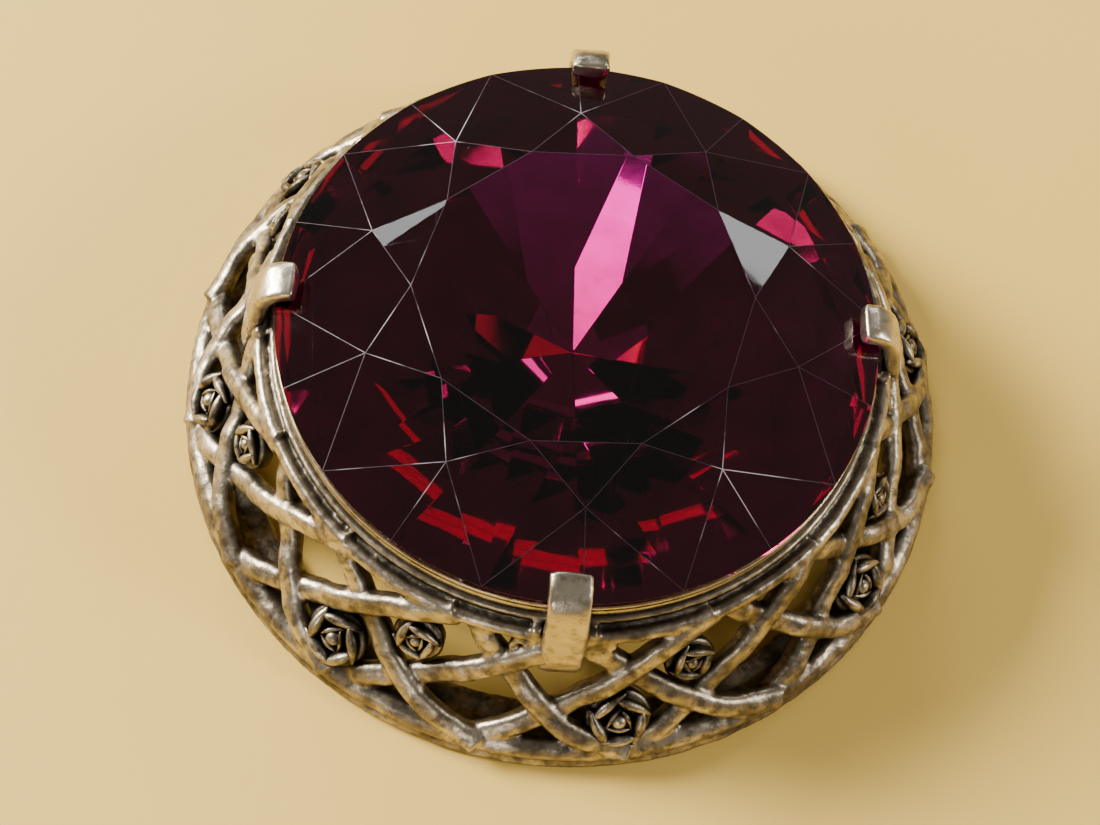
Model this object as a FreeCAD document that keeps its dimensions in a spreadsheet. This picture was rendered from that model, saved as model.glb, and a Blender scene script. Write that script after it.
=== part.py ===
import FreeCAD, Part

import math
import os

import Sketcher

# A round brooch lying stone up: a cast openwork frame with a flat foot ring, a faceted glass stone
# in a plain seat ring held by four claws, and a pin with a rotating safety lock on the back.
# Origin: centre of the frame on the plane it rests on. +Z is the front (stone) side, and the
# claws stand at +X (right), +Y (back, which is the top when worn), -X (left) and -Y (front).

# Driving dimensions in millimetres and degrees.
SIZES = {
    # frame casting, radii and heights of its turned outline
    "rim_radius": 21.9,
    "rim_edge": 0.5,
    "rim_groove_depth": 0.25,
    "rim_groove_low": 0.6,
    "rim_groove_high": 0.8,
    "shelf_radius": 18.6,
    "shelf_height": 1.0,
    "wall_foot_radius": 21.2,
    "wall_foot_height": 1.5,
    "wall_top_radius": 16.95,
    "wall_top_height": 7.7,
    "wall_curve": 14,
    "wall_inner_foot": 20.1,
    "wall_inner_top": 15.9,
    "wall_inner_top_height": 7.1,
    "wall_inner_curve": 15,
    "collar_groove_radius": 16.3,
    "collar_groove_height": 7.85,
    "lip_radius": 16.35,
    "lip_height": 8.3,
    "lip_inner_radius": 15.4,
    "lip_thick": 0.29,
    "lip_chamfer_in": 0.2,
    "lip_chamfer_down": 0.1,
    "collar_lining": 0.6,
    # openwork: strands that rise to the right cross strands that fall to the right
    "repeats": 8,
    "strand_width": 1.2,
    "rising_foot": -11,
    "rising_foot_next": 12,
    "rising_lean": 34.5,
    "falling_foot": 5.5,
    "falling_foot_next": 29,
    "falling_lean": 22,
    "falling_lean_next": 28,
    "window_low": 0.03,
    "window_high": 0.97,
    "least_window": 0.8,
    # rose knots
    "low_rose_angle": 9.5,
    "low_rose_place": 0.24,
    "low_rose_radius": 1.9,
    "high_rose_angle": 21.5,
    "high_rose_place": 0.62,
    "high_rose_radius": 1.5,
    "rose_rise": 0.55,
    "rose_depth": 0.7,
    "rose_bead": 0.3,
    "rose_valley": 0.45,
    "rose_crest": 0.72,
    "rose_valley_rise": 0.3,
    "rose_edge_rise": 0.22,
    "rose_bead_rise": 0.66,
    # stone
    "stone_radius": 16,
    "girdle_low": 9.45,
    "girdle_high": 10.05,
    "table_height": 12.4,
    "table_radius": 8.9,
    "table_turn": 2.5,
    "facets_round": 10,
    "culet_height": 1.0,
    "star_length": 0.42,
    "lower_facet_end": 0.28,
    # seat ring under the stone
    "seat_outer": 16.05,
    "seat_inner": 14.9,
    "seat_foot": 7.6,
    "seat_gap": 0.03,
    # claws
    "claw_width": 2.3,
    "claw_foot_radius": 18.2,
    "claw_foot_low": 5.4,
    "claw_foot_high": 6.6,
    "claw_knee_radius": 17.2,
    "claw_knee_height": 10.3,
    "claw_crown_height": 11.35,
    "claw_crown_radius": 16.2,
    "claw_tip_radius": 14.6,
    "claw_tip_low": 10.6,
    "claw_tip_high": 11.7,
    "claw_inner_radius": 16.08,
    "claw_inner_foot": 17.05,
    "claw_over_girdle": 0.15,
    "claw_under_girdle": 1.2,
    # pin and its bar
    "bar_y": 8,
    "bar_low": 3.4,
    "bar_thick": 0.8,
    "bar_width": 2.4,
    "bar_reach": 17.6,
    "bar_leg_inner": 13.5,
    "bar_leg_top": 14.4,
    "pin_height": 1.9,
    "hinge_x": -11.6,
    "catch_x": 11.2,
    "stem_radius": 0.45,
    "stem_tip_radius": 0.06,
    "stem_point": 2.2,
    "stem_past_catch": 2.9,
    "eye_radius": 0.95,
    "stem_start": 0.76,
    "eye_width": 1.2,
    "eye_gap": 0.1,
    "ear_thick": 0.5,
    "ear_radius": 1.1,
    "rivet_radius": 0.4,
    "rivet_gap": 0.04,
    "rivet_head_radius": 0.7,
    "rivet_head": 0.3,
    # catch hook and the lock that turns in it
    "lock_inner": 0.62,
    "lock_outer": 0.98,
    "catch_inner": 1.03,
    "catch_outer": 1.6,
    "catch_width": 2.2,
    "catch_mouth": 1.16,
    "flange_thick": 0.45,
    "flange_radius": 1.35,
    "flange_gap": 0.05,
    "tab_reach": 1.75,
    "tab_width": 0.7,
    "tab_tilt": 20,
}

ROUND = 360.0
# A half circle is drawn with this little more radius, so that its centre stays on the right side.
HALF_CIRCLE = 1.0001
# How many strands of the other family can cross one strand within the wall, either way.
CROSSINGS = 4
Z_AXIS = FreeCAD.Vector(0, 0, 1)
CLAW_ANGLES = {"prong_right": 0, "prong_back": 90, "prong_left": 180, "prong_front": 270}

doc = FreeCAD.newDocument("brooch")


def fill_sheet():
    """The spreadsheet that drives the model, one aliased cell for each size."""
    sheet = doc.addObject("Spreadsheet::Sheet", "Sizes")
    for row, (alias, value) in enumerate(SIZES.items(), start=1):
        sheet.set(f"A{row}", alias)
        sheet.set(f"B{row}", str(value))
        sheet.setAlias(f"B{row}", alias)
    doc.recompute()
    return sheet


sheet = fill_sheet()


def size(alias):
    return float(sheet.get(alias))


def value_of(expression):
    return float(sheet.evalExpression(expression))


def new_body(label):
    body = doc.addObject("PartDesign::Body", label)
    body.Label = label
    return body


def origin_feature(body, role):
    return next(f for f in body.Origin.OriginFeatures if f.Role == role)


def new_sketch(body, name, plane="XZ_Plane", turn=0.0, height=0.0):
    """A sketch on an origin plane. On XZ, turn swings it about Z so that its x axis points at that angle."""
    sketch = body.newObject("Sketcher::SketchObject", name)
    sketch.AttachmentSupport = [(origin_feature(body, plane), "")]
    sketch.MapMode = "FlatFace"
    about = FreeCAD.Vector(0, 1, 0) if plane == "XZ_Plane" else Z_AXIS
    sketch.AttachmentOffset = FreeCAD.Placement(
        FreeCAD.Vector(0, 0, height), FreeCAD.Rotation(about, turn)
    )
    return sketch


def bind_point(sketch, piece, end, x, y):
    """Holds one end of a line or arc at coordinates given as expressions on the sheet."""
    for kind, expression in (("DistanceX", x), ("DistanceY", y)):
        index = sketch.addConstraint(
            Sketcher.Constraint(kind, -1, 1, piece, end, value_of(expression))
        )
        sketch.setExpression(f"Constraints[{index}]", expression)


def arc_between(start, end, radius, side):
    """The arc from start to end; side 1 bulges to the left of the way there and -1 to the right.
    Sketches take arcs anticlockwise, so an arc that bulges left is made from its end."""
    middle = (start + end) * 0.5
    along = end - start
    left = FreeCAD.Vector(-along.y, along.x, 0).normalize()
    centre = middle - left * side * math.sqrt(radius**2 - (along.Length / 2) ** 2)
    first, last = (end, start) if side > 0 else (start, end)
    angles = [math.atan2(spot.y - centre.y, spot.x - centre.x) for spot in (first, last)]
    if angles[1] < angles[0]:
        angles[1] += 2 * math.pi
    return Part.ArcOfCircle(Part.Circle(centre, Z_AXIS, radius), *angles)


def draw_outline(sketch, points):
    """A closed outline. A point is (x, y), or (x, y, radius, side) when an arc leaves it."""
    spots = [FreeCAD.Vector(value_of(p[0]), value_of(p[1]), 0) for p in points]
    count = len(points)
    for index, point in enumerate(points):
        start, end = spots[index], spots[(index + 1) % count]
        if len(point) == 2:
            sketch.addGeometry(Part.LineSegment(start, end), False)
        else:
            arc = arc_between(start, end, value_of(point[2]), point[3])
            sketch.addGeometry(arc, False)
    ends = [own_ends(sketch, index, spots[index]) for index in range(count)]
    for index in range(count):
        following = (index + 1) % count
        sketch.addConstraint(
            Sketcher.Constraint("Coincident", index, ends[index][1], following, ends[following][0])
        )
    for index, point in enumerate(points):
        bind_point(sketch, index, ends[index][0], point[0], point[1])
        if len(point) > 2:
            held = sketch.addConstraint(Sketcher.Constraint("Radius", index, value_of(point[2])))
            sketch.setExpression(f"Constraints[{held}]", point[2])


def own_ends(sketch, index, start):
    """(start, end) point numbers of a piece, which an arc keeps anticlockwise."""
    shape = sketch.Geometry[index]
    first = 1 if (shape.StartPoint - start).Length < (shape.EndPoint - start).Length else 2
    return first, 3 - first


def draw_circle(sketch, x, y, radius):
    centre = FreeCAD.Vector(value_of(x), value_of(y), 0)
    index = sketch.addGeometry(Part.Circle(centre, Z_AXIS, value_of(radius)), False)
    bind_point(sketch, index, 3, x, y)
    held = sketch.addConstraint(Sketcher.Constraint("Radius", index, value_of(radius)))
    sketch.setExpression(f"Constraints[{held}]", radius)


def revolve(body, name, sketch, axis=None):
    feature = body.newObject("PartDesign::Revolution", name)
    feature.Profile = sketch
    feature.ReferenceAxis = axis or (origin_feature(body, "Z_Axis"), [""])
    feature.Angle = ROUND
    body.Tip = feature
    doc.recompute()
    return feature


def pad(body, name, sketch, length, side="One side", reverse=False):
    feature = body.newObject("PartDesign::Pad", name)
    feature.Profile = sketch
    feature.SideType = side
    feature.Reversed = reverse
    feature.setExpression("Length", length)
    body.Tip = feature
    doc.recompute()
    return feature


def pocket(body, name, sketch, length=None, side="One side", reverse=False):
    """A cut that must take something away."""
    before = body.Tip.Shape.Volume
    feature = body.newObject("PartDesign::Pocket", name)
    feature.Profile = sketch
    feature.SideType = side
    feature.Reversed = reverse
    if length is None:
        feature.Type = "ThroughAll"
    else:
        feature.setExpression("Length", length)
    body.Tip = feature
    doc.recompute()
    if not body.Tip.Shape.Volume < before:
        raise ValueError(f"{name} cuts nothing")
    return feature


def repeat_round(body, name, features, count):
    """The features again, evenly round the Z axis."""
    pattern = body.newObject("PartDesign::PolarPattern", name)
    pattern.Originals = features
    pattern.Axis = (origin_feature(body, "Z_Axis"), [""])
    pattern.Angle = ROUND
    pattern.setExpression("Occurrences", count)
    body.Tip = pattern
    doc.recompute()
    return pattern


# --- openwork frame -------------------------------------------------------------------------


def wall_point(place):
    """(radius, height) on the wall's outer curve, place 0 at its foot and 1 at its top."""
    foot = FreeCAD.Vector(size("wall_foot_radius"), size("wall_foot_height"), 0)
    top = FreeCAD.Vector(size("wall_top_radius"), size("wall_top_height"), 0)
    arc = arc_between(foot, top, size("wall_curve"), 1)
    spot = arc.value(arc.LastParameter + place * (arc.FirstParameter - arc.LastParameter))
    return spot.x, spot.y


def wall_normal(place):
    """The direction straight out of the wall there, as (outwards, up)."""
    step = 0.01
    low, high = wall_point(place - step), wall_point(place + step)
    out, up = high[1] - low[1], low[0] - high[0]
    length = math.hypot(out, up)
    return out / length, up / length


def strand_lines():
    """Each family's strands as (angle at the foot, angle gained on the way up), two in a repeat."""
    rising = [(size(name), size("rising_lean")) for name in ("rising_foot", "rising_foot_next")]
    falling = [
        (size("falling_foot"), -size("falling_lean")),
        (size("falling_foot_next"), -size("falling_lean_next")),
    ]
    return rising, falling


def strand(family, number):
    """The numbered strand of a family that goes on round the frame, two to a repeat."""
    repeat, which = divmod(number, 2)
    foot, lean = family[which]
    return foot + repeat * ROUND / size("repeats"), lean


def keep_beside(outline, line, keep_right):
    """The part of a flat outline on one side of a strand, half a strand width clear of it."""
    (start, lean_across), rise = line
    direction = math.hypot(lean_across, rise)
    side = 1 if keep_right else -1
    normal = (side * rise / direction, -side * lean_across / direction)

    def depth(point):
        across = (point[0] - start) * normal[0] + point[1] * normal[1]
        return across - size("strand_width") / 2

    kept = []
    for here, following in zip(outline, outline[1:] + outline[:1]):
        first, second = depth(here), depth(following)
        if first >= 0:
            kept.append(here)
        if first * second < 0:
            share = first / (first - second)
            kept.append(tuple(a + (b - a) * share for a, b in zip(here, following)))
    return kept


def outline_area(outline):
    pairs = zip(outline, outline[1:] + outline[:1])
    return abs(sum(a[0] * b[1] - b[0] * a[1] for a, b in pairs)) / 2


def window_outlines():
    """Each window of one repeat as corners (angle, place up the wall), between four strands."""
    rising, falling = strand_lines()
    foot, top = wall_point(0), wall_point(1)
    rise = math.hypot(top[0] - foot[0], top[1] - foot[1])
    degree = math.radians(1) * (foot[0] + top[0]) / 2
    low, high = size("window_low") * rise, size("window_high") * rise
    half_turn = degree * ROUND / 2
    windows = []
    for left in (0, 1):
        for fall in range(-CROSSINGS, CROSSINGS):
            outline = [(-half_turn, low), (half_turn, low), (half_turn, high), (-half_turn, high)]
            limits = (
                (strand(rising, left), True),
                (strand(rising, left + 1), False),
                (strand(falling, fall), True),
                (strand(falling, fall + 1), False),
            )
            for (start, lean), keep_right in limits:
                if outline:
                    line = ((start * degree, lean * degree), rise)
                    outline = keep_beside(outline, line, keep_right)
            if outline and outline_area(outline) > size("least_window"):
                windows.append([(across / degree, up / rise) for across, up in outline])
    return windows


def cut_window(body, name, corners):
    """One window, cut straight outwards from the axis of the frame."""
    middle = sum(angle for angle, _ in corners) / len(corners)
    sketch = new_sketch(body, f"{name}_outline", turn=middle + ROUND / 4)
    spots = []
    for angle, place in corners:
        radius, height = wall_point(place)
        spots.append(FreeCAD.Vector(radius * math.sin(math.radians(angle - middle)), height, 0))
    for start, end in zip(spots, spots[1:] + spots[:1]):
        sketch.addGeometry(Part.LineSegment(start, end), False)
    return pocket(body, name, sketch, reverse=True)


def add_rose(body, name, angle, place, radius):
    """A rose knot as a turned button: a bead in a ring of petals, square to the wall."""
    spot, out = wall_point(size(place)), wall_normal(size(place))
    sketch = new_sketch(body, f"{name}_outline", turn=size(angle))
    reach, rise, depth = size(radius), size("rose_rise"), size("rose_depth")
    outline = [
        (0, -depth),
        (reach, -depth),
        (reach, size("rose_edge_rise")),
        (size("rose_crest") * reach, rise),
        (size("rose_valley") * reach, size("rose_valley_rise")),
        (size("rose_bead") * reach, rise),
        (0, size("rose_bead_rise")),
    ]
    spots = [
        FreeCAD.Vector(spot[0] + up * out[0] - away * out[1], spot[1] + up * out[1] + away * out[0], 0)
        for away, up in outline
    ]
    for start, end in zip(spots, spots[1:] + spots[:1]):
        sketch.addGeometry(Part.LineSegment(start, end), False)
    sketch.addGeometry(Part.LineSegment(spots[0], spots[-1]), True)
    return revolve(body, name, sketch, axis=(sketch, ["Axis0"]))


CLAW_OUTLINE = [
    ("Sizes.claw_inner_foot", "Sizes.claw_foot_low"),
    ("Sizes.claw_foot_radius", "Sizes.claw_foot_low"),
    ("Sizes.claw_foot_radius", "Sizes.claw_foot_high"),
    ("Sizes.claw_knee_radius", "Sizes.claw_knee_height"),
    ("Sizes.claw_crown_radius", "Sizes.claw_crown_height"),
    ("Sizes.claw_tip_radius", "Sizes.claw_tip_high"),
    ("Sizes.claw_tip_radius", "Sizes.claw_tip_low"),
    ("Sizes.claw_inner_radius", "Sizes.girdle_high + Sizes.claw_over_girdle"),
    ("Sizes.claw_inner_radius", "Sizes.girdle_low - Sizes.claw_under_girdle"),
]


def make_frame():
    body = new_body("openwork_frame")
    sketch = new_sketch(body, "frame_outline")
    rim, groove = "Sizes.rim_radius", "Sizes.rim_groove_depth"
    lining_foot = "Sizes.wall_inner_top_height - Sizes.collar_lining"
    outline = [
        ("Sizes.shelf_radius", "0"),
        (rim, "0"),
        (rim, "Sizes.rim_edge"),
        (f"{rim} - {groove}", "Sizes.rim_groove_low"),
        (f"{rim} - {groove} / 2", "Sizes.rim_groove_high"),
        ("Sizes.wall_foot_radius", "Sizes.wall_foot_height", "Sizes.wall_curve", 1),
        ("Sizes.wall_top_radius", "Sizes.wall_top_height"),
        ("Sizes.collar_groove_radius", "Sizes.collar_groove_height"),
        ("Sizes.lip_radius", "Sizes.lip_height - Sizes.lip_chamfer_down"),
        ("Sizes.lip_radius - Sizes.lip_chamfer_in", "Sizes.lip_height"),
        ("Sizes.lip_radius - Sizes.lip_thick", "Sizes.lip_height"),
        ("Sizes.lip_radius - Sizes.lip_thick", "Sizes.seat_foot"),
        ("Sizes.lip_inner_radius", "Sizes.seat_foot"),
        ("Sizes.lip_inner_radius", "Sizes.wall_inner_top_height"),
        ("Sizes.wall_inner_top", lining_foot, "Sizes.wall_inner_curve", -1),
        ("Sizes.wall_inner_foot", "Sizes.shelf_height"),
        ("Sizes.shelf_radius", "Sizes.shelf_height"),
    ]
    draw_outline(sketch, outline)
    revolve(body, "frame_shell", sketch)
    windows = [
        cut_window(body, f"window_{number}", corners)
        for number, corners in enumerate(window_outlines(), start=1)
    ]
    repeat_round(body, "window_repeats", windows, "Sizes.repeats")
    roses = [
        add_rose(body, "low_rose", "low_rose_angle", "low_rose_place", "low_rose_radius"),
        add_rose(body, "high_rose", "high_rose_angle", "high_rose_place", "high_rose_radius"),
    ]
    repeat_round(body, "rose_repeats", roses, "Sizes.repeats")
    notch_outline = new_sketch(body, "notch_outline")
    draw_outline(notch_outline, CLAW_OUTLINE)
    notch = pocket(body, "claw_notch", notch_outline, "Sizes.claw_width", "Symmetric")
    repeat_round(body, "claw_notches", [notch], str(len(CLAW_ANGLES)))
    return body


# --- stone, seat and claws ------------------------------------------------------------------


def cut_facets(body, name, turn, line, count="Sizes.facets_round"):
    """Flat facets all round, each square to the line (radius, height) to (radius, height)."""
    sketch = new_sketch(body, f"{name}_outline", turn=turn)
    (near, near_height), (far, far_height) = line
    beyond = 2 * size("stone_radius")  # far enough out to clear the stone
    slope = (far_height - near_height) / (far - near)
    inner, outer = -size("stone_radius") / 2, beyond
    start = (inner, near_height + (inner - near) * slope)
    end = (outer, near_height + (outer - near) * slope)
    away = beyond if slope < 0 else -beyond
    corners = [start, end, (outer, end[1] + away), (inner, start[1] + away)]
    spots = [FreeCAD.Vector(x, y, 0) for x, y in corners]
    for first, second in zip(spots, spots[1:] + spots[:1]):
        sketch.addGeometry(Part.LineSegment(first, second), False)
    cut = pocket(body, name, sketch, side="Symmetric")
    return repeat_round(body, f"{name}_round", [cut], count)


def make_stone():
    """A round ten-fold brilliant: table, stars, bezels and upper facets over a smooth girdle,
    then lower facets and ten long pavilion facets that meet in a point."""
    body = new_body("stone")
    sketch = new_sketch(body, "blank_outline", plane="XY_Plane")
    draw_circle(sketch, "0", "0", "Sizes.stone_radius")
    sketch.AttachmentOffset = FreeCAD.Placement(
        FreeCAD.Vector(0, 0, size("culet_height")), FreeCAD.Rotation()
    )
    pad(body, "blank", sketch, "Sizes.table_height - Sizes.culet_height")
    radius, step = size("stone_radius"), ROUND / size("facets_round")
    low, high, top = size("girdle_low"), size("girdle_high"), size("table_height")
    half, quarter = math.cos(math.radians(step / 2)), math.cos(math.radians(step / 4))
    corner, culet = size("table_turn"), (0, size("culet_height"))

    bezel = ((size("table_radius"), top), (radius, high))
    cut_facets(body, "bezel", corner, bezel)
    table_side = size("table_radius") * half
    star_end = table_side + size("star_length") * (radius - table_side)
    bezel_slope = (top - high) / (radius - size("table_radius"))
    star_height = high + (radius - star_end * half) * bezel_slope
    cut_facets(body, "star", corner + step / 2, ((table_side, top), (star_end, star_height)))
    upper = ((star_end * quarter, star_height), (radius * quarter, high))

    cut_facets(body, "pavilion", corner, (culet, (radius, low)))
    pavilion_slope = (low - culet[1]) / radius
    valley = size("lower_facet_end") * radius
    valley_height = culet[1] + valley * half * pavilion_slope
    lower = ((valley * quarter, valley_height), (radius * quarter, low))
    for side, hand in ((-1, "left"), (1, "right")):
        cut_facets(body, f"upper_{hand}", corner + side * step / 4, upper)
        cut_facets(body, f"lower_{hand}", corner + side * step / 4, lower)
    return body


def make_seat():
    """The plain ring under the girdle, with a bearing face that follows the pavilion."""
    body = new_body("stone_seat")
    sketch = new_sketch(body, "seat_outline")
    slope = "(Sizes.girdle_low - Sizes.culet_height) / Sizes.stone_radius"
    bearing = f"Sizes.girdle_low - (Sizes.stone_radius - Sizes.seat_inner) * {slope} - Sizes.seat_gap"
    outline = [
        ("Sizes.seat_inner", "Sizes.seat_foot"),
        ("Sizes.seat_outer", "Sizes.seat_foot"),
        ("Sizes.seat_outer", "Sizes.girdle_low - Sizes.seat_gap"),
        ("Sizes.stone_radius", "Sizes.girdle_low - Sizes.seat_gap"),
        ("Sizes.seat_inner", bearing),
    ]
    draw_outline(sketch, outline)
    revolve(body, "seat_ring", sketch)
    return body


def make_claw(label, angle):
    """One claw, soldered into its notch in the frame and bent over the edge of the stone."""
    body = new_body(label)
    sketch = new_sketch(body, f"{label}_outline")
    draw_outline(sketch, CLAW_OUTLINE)
    pad(body, f"{label}_blank", sketch, "Sizes.claw_width", "Symmetric")
    body.Placement = FreeCAD.Placement(
        FreeCAD.Vector(), FreeCAD.Rotation(Z_AXIS, angle)
    )
    return body


# --- pin, bar, hinge and catch --------------------------------------------------------------


def make_bar():
    """The bar across the back: a strip with a leg at each end and two ears for the hinge."""
    body = new_body("pin_bar")
    sketch = new_sketch(body, "bar_outline")
    foot, low, thick = "Sizes.shelf_height", "Sizes.bar_low", "Sizes.bar_thick"
    reach, leg = "Sizes.bar_reach", "Sizes.bar_leg_inner"
    top, shoulder = f"{low} + {thick}", "Sizes.bar_leg_top"
    outline = [
        (f"-{reach}", foot),
        (f"-({reach} - {thick})", foot),
        (f"-{leg}", low),
        (leg, low),
        (f"{reach} - {thick}", foot),
        (reach, foot),
        (shoulder, top),
        (f"-{shoulder}", top),
    ]
    draw_outline(sketch, outline)
    pad(body, "bar_strip", sketch, "Sizes.bar_width", "Symmetric")
    for side, name in ((1, "back"), (-1, "front")):
        add_ear(body, f"ear_{name}", side)
    hole = new_sketch(body, "rivet_hole_outline")
    draw_circle(hole, "Sizes.hinge_x", "Sizes.pin_height", "Sizes.rivet_radius")
    pocket(body, "rivet_hole", hole, "4 * Sizes.bar_width", "Symmetric")
    body.Placement = FreeCAD.Placement(FreeCAD.Vector(0, size("bar_y"), 0), FreeCAD.Rotation())
    return body


def add_ear(body, name, side):
    """One ear: a plate square to the rivet that hangs from the strip and is round at its end."""
    sketch = new_sketch(body, f"{name}_outline")
    inner = "Sizes.eye_width / 2 + Sizes.eye_gap"
    placed = value_of(inner) if side < 0 else -value_of(inner) - size("ear_thick")
    sketch.AttachmentOffset = FreeCAD.Placement(
        FreeCAD.Vector(0, 0, placed), FreeCAD.Rotation()
    )
    left, right = "Sizes.hinge_x - Sizes.ear_radius", "Sizes.hinge_x + Sizes.ear_radius"
    outline = [
        (left, "Sizes.pin_height", f"Sizes.ear_radius * {HALF_CIRCLE}", -1),
        (right, "Sizes.pin_height"),
        (right, "Sizes.bar_low + Sizes.bar_thick / 2"),
        (left, "Sizes.bar_low + Sizes.bar_thick / 2"),
    ]
    draw_outline(sketch, outline)
    return pad(body, name, sketch, "Sizes.ear_thick")


def make_rivet():
    """The hinge rivet, through both ears and the eye of the pin, with a flat head at each end."""
    body = new_body("hinge_rivet")
    shank = new_sketch(body, "shank_outline")
    draw_circle(shank, "Sizes.hinge_x", "Sizes.pin_height", "Sizes.rivet_radius")
    half = "(Sizes.eye_width / 2 + Sizes.eye_gap + Sizes.ear_thick)"
    pad(body, "shank", shank, f"2 * {half}", "Symmetric")
    for side, name in ((-1, "front"), (1, "back")):
        head = new_sketch(body, f"head_{name}_outline")
        start = value_of(half) if side < 0 else -value_of(half) - size("rivet_head")
        head.AttachmentOffset = FreeCAD.Placement(FreeCAD.Vector(0, 0, start), FreeCAD.Rotation())
        draw_circle(head, "Sizes.hinge_x", "Sizes.pin_height", "Sizes.rivet_head_radius")
        pad(body, f"head_{name}", head, "Sizes.rivet_head")
    body.Placement = FreeCAD.Placement(FreeCAD.Vector(0, size("bar_y"), 0), FreeCAD.Rotation())
    return body


def make_pin():
    """The pin: an eye that turns on the rivet, a round stem and a tapered point."""
    body = new_body("pin_stem")
    stem_outline = new_sketch(body, "stem_outline")
    end = "Sizes.catch_x + Sizes.stem_past_catch"
    radius = "Sizes.stem_radius"
    length = f"{end} - Sizes.hinge_x"
    outline = [
        ("Sizes.stem_start", "0"),
        (length, "0"),
        (length, "Sizes.stem_tip_radius"),
        (f"{length} - Sizes.stem_point", radius),
        ("Sizes.stem_start", radius),
    ]
    draw_outline(stem_outline, outline)
    revolve(body, "stem", stem_outline, axis=(origin_feature(body, "X_Axis"), [""]))
    eye = new_sketch(body, "eye_outline")
    draw_circle(eye, "0", "0", "Sizes.eye_radius")
    pad(body, "eye", eye, "Sizes.eye_width", "Symmetric")
    bore = new_sketch(body, "eye_bore_outline")
    draw_circle(bore, "0", "0", "Sizes.rivet_radius + Sizes.rivet_gap")
    pocket(body, "eye_bore", bore, "2 * Sizes.eye_width", "Symmetric")
    body.Placement = FreeCAD.Placement(
        FreeCAD.Vector(size("hinge_x"), size("bar_y"), size("pin_height")), FreeCAD.Rotation()
    )
    return body


def c_outline(sketch, inner, outer, mouth):
    """A C about the origin, open towards -y by the mouth width."""
    half = f"{mouth} / 2"
    far = f"sqrt(pow({outer}; 2) - pow({half}; 2))"
    near = f"sqrt(pow({inner}; 2) - pow({half}; 2))"
    turn = math.asin(value_of(half) / value_of(outer))
    inner_turn = math.asin(value_of(half) / value_of(inner))
    down = -math.pi / 2
    centre = FreeCAD.Vector()
    sketch.addGeometry(
        [
            Part.ArcOfCircle(
                Part.Circle(centre, Z_AXIS, value_of(outer)), down + turn, down - turn + 2 * math.pi
            ),
            Part.LineSegment(
                FreeCAD.Vector(-value_of(half), -value_of(far), 0),
                FreeCAD.Vector(-value_of(half), -value_of(near), 0),
            ),
            Part.ArcOfCircle(
                Part.Circle(centre, Z_AXIS, value_of(inner)),
                down + inner_turn,
                down - inner_turn + 2 * math.pi,
            ),
            Part.LineSegment(
                FreeCAD.Vector(value_of(half), -value_of(near), 0),
                FreeCAD.Vector(value_of(half), -value_of(far), 0),
            ),
        ],
        False,
    )
    for first, first_end, second, second_end in ((0, 2, 1, 1), (1, 2, 2, 2), (2, 1, 3, 1), (3, 2, 0, 1)):
        sketch.addConstraint(Sketcher.Constraint("Coincident", first, first_end, second, second_end))
    for arc, radius in ((0, outer), (2, inner)):
        sketch.addConstraint(Sketcher.Constraint("Coincident", arc, 3, -1, 1))
        held = sketch.addConstraint(Sketcher.Constraint("Radius", arc, value_of(radius)))
        sketch.setExpression(f"Constraints[{held}]", radius)
    for line, side in ((1, "-"), (3, "")):
        sketch.addConstraint(Sketcher.Constraint("Vertical", line))
        held = sketch.addConstraint(
            Sketcher.Constraint("DistanceX", -1, 1, line, 1, value_of(f"{side}{half}"))
        )
        sketch.setExpression(f"Constraints[{held}]", f"{side}{half}")


def make_catch():
    """The catch hook under the bar: a thick C, open downwards, that the pin springs into."""
    body = new_body("catch_hook")
    sketch = new_sketch(body, "hook_outline", plane="YZ_Plane")
    c_outline(sketch, "Sizes.catch_inner", "Sizes.catch_outer", "Sizes.catch_mouth")
    pad(body, "hook", sketch, "Sizes.catch_width", "Symmetric")
    trim = new_sketch(body, "hook_trim_outline", plane="YZ_Plane")
    top, side = "Sizes.bar_low - Sizes.pin_height", "2 * Sizes.catch_outer"
    draw_outline(trim, [(f"-{side}", top), (side, top), (side, side), (f"-{side}", side)])
    pocket(body, "hook_trim", trim, side, "Symmetric")
    place_at_catch(body)
    return body


def place_at_catch(body):
    body.Placement = FreeCAD.Placement(
        FreeCAD.Vector(size("catch_x"), size("bar_y"), size("pin_height")), FreeCAD.Rotation()
    )


def make_lock():
    """The lock: a slit sleeve that turns in the hook, with a flange at each end and a thumb tab."""
    body = new_body("catch_lock")
    sketch = new_sketch(body, "sleeve_outline", plane="YZ_Plane")
    c_outline(sketch, "Sizes.lock_inner", "Sizes.lock_outer", "Sizes.catch_mouth")
    pad(body, "sleeve", sketch, "Sizes.catch_width + 2 * Sizes.flange_gap", "Symmetric")
    start = size("catch_width") / 2 + size("flange_gap")
    for side, name in ((-1, "inner"), (1, "outer")):
        flange = new_sketch(body, f"flange_{name}_outline", plane="YZ_Plane")
        away = start if side > 0 else -start - size("flange_thick")
        flange.AttachmentOffset = FreeCAD.Placement(FreeCAD.Vector(0, 0, away), FreeCAD.Rotation())
        c_outline(flange, "Sizes.lock_inner", "Sizes.flange_radius", "Sizes.catch_mouth")
        pad(body, f"flange_{name}", flange, "Sizes.flange_thick")
    tab = new_sketch(body, "tab_outline", plane="YZ_Plane")
    tab.AttachmentOffset = FreeCAD.Placement(
        FreeCAD.Vector(0, 0, start), FreeCAD.Rotation(Z_AXIS, ROUND / 2 - size("tab_tilt"))
    )
    half = "Sizes.tab_width / 2"
    outline = [
        ("Sizes.lock_outer", f"-{half}"),
        ("Sizes.tab_reach", f"-{half}"),
        ("Sizes.tab_reach", half),
        ("Sizes.lock_outer", half),
    ]
    draw_outline(tab, outline)
    pad(body, "tab", tab, "Sizes.flange_thick")
    place_at_catch(body)
    return body


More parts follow.
